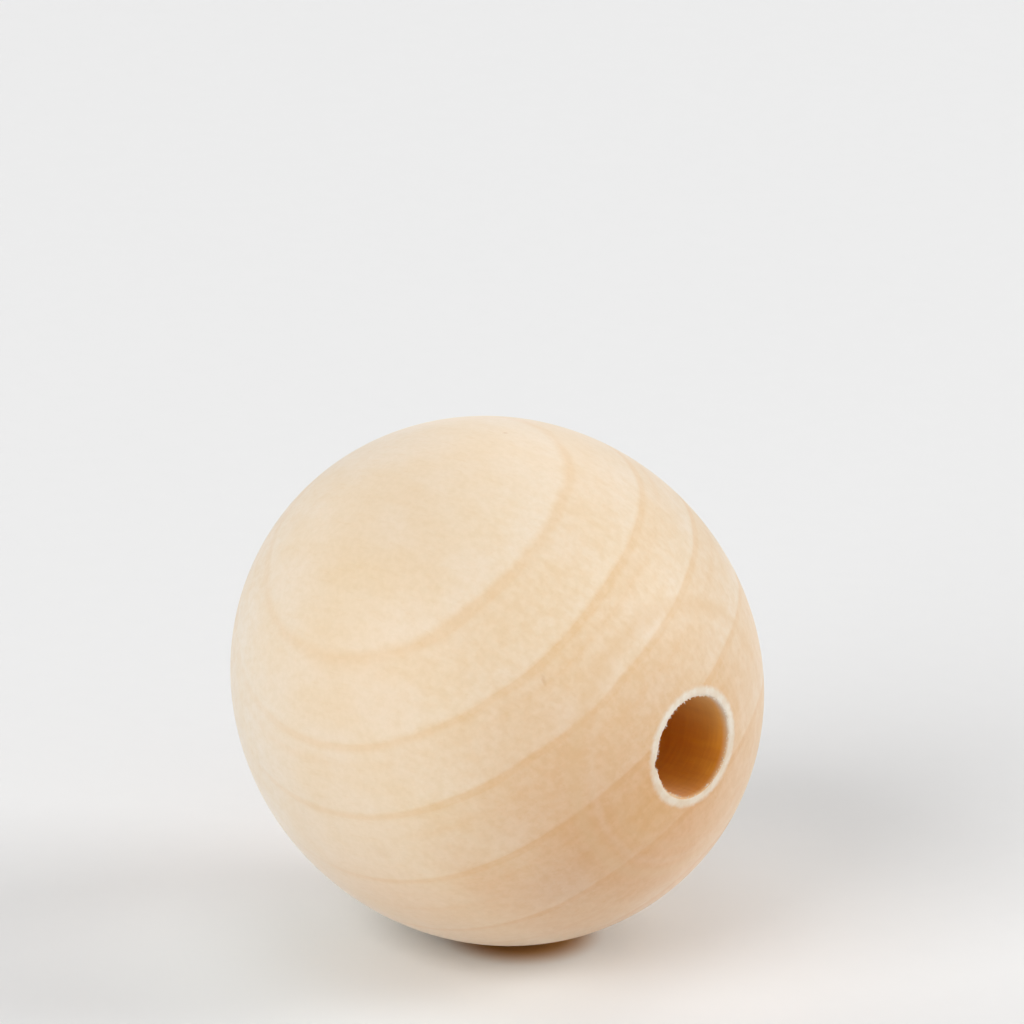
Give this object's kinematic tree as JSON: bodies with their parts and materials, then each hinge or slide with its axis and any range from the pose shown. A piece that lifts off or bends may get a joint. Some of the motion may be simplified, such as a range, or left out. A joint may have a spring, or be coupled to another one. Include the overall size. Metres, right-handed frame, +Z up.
{
  "type": "wooden ball",
  "caption": "Turned ball of pale wood, drawn slightly oval by drying, with a straight round hole bored through along the grain for a cord, rod or peg.",
  "frame": {"origin": "middle of the ball, on the bore's axis halfway between its mouths", "axes": "+X along the bore towards the mouth that the picture shows, +Z up as the ball lies in the picture"},
  "size_m": [0.0194, 0.0192, 0.0198],
  "materials": {
    "wood": "bare, fine sanded"
  },
  "bodies": {
    "root": {"ball": "wood"}
  },
  "joints": []
}
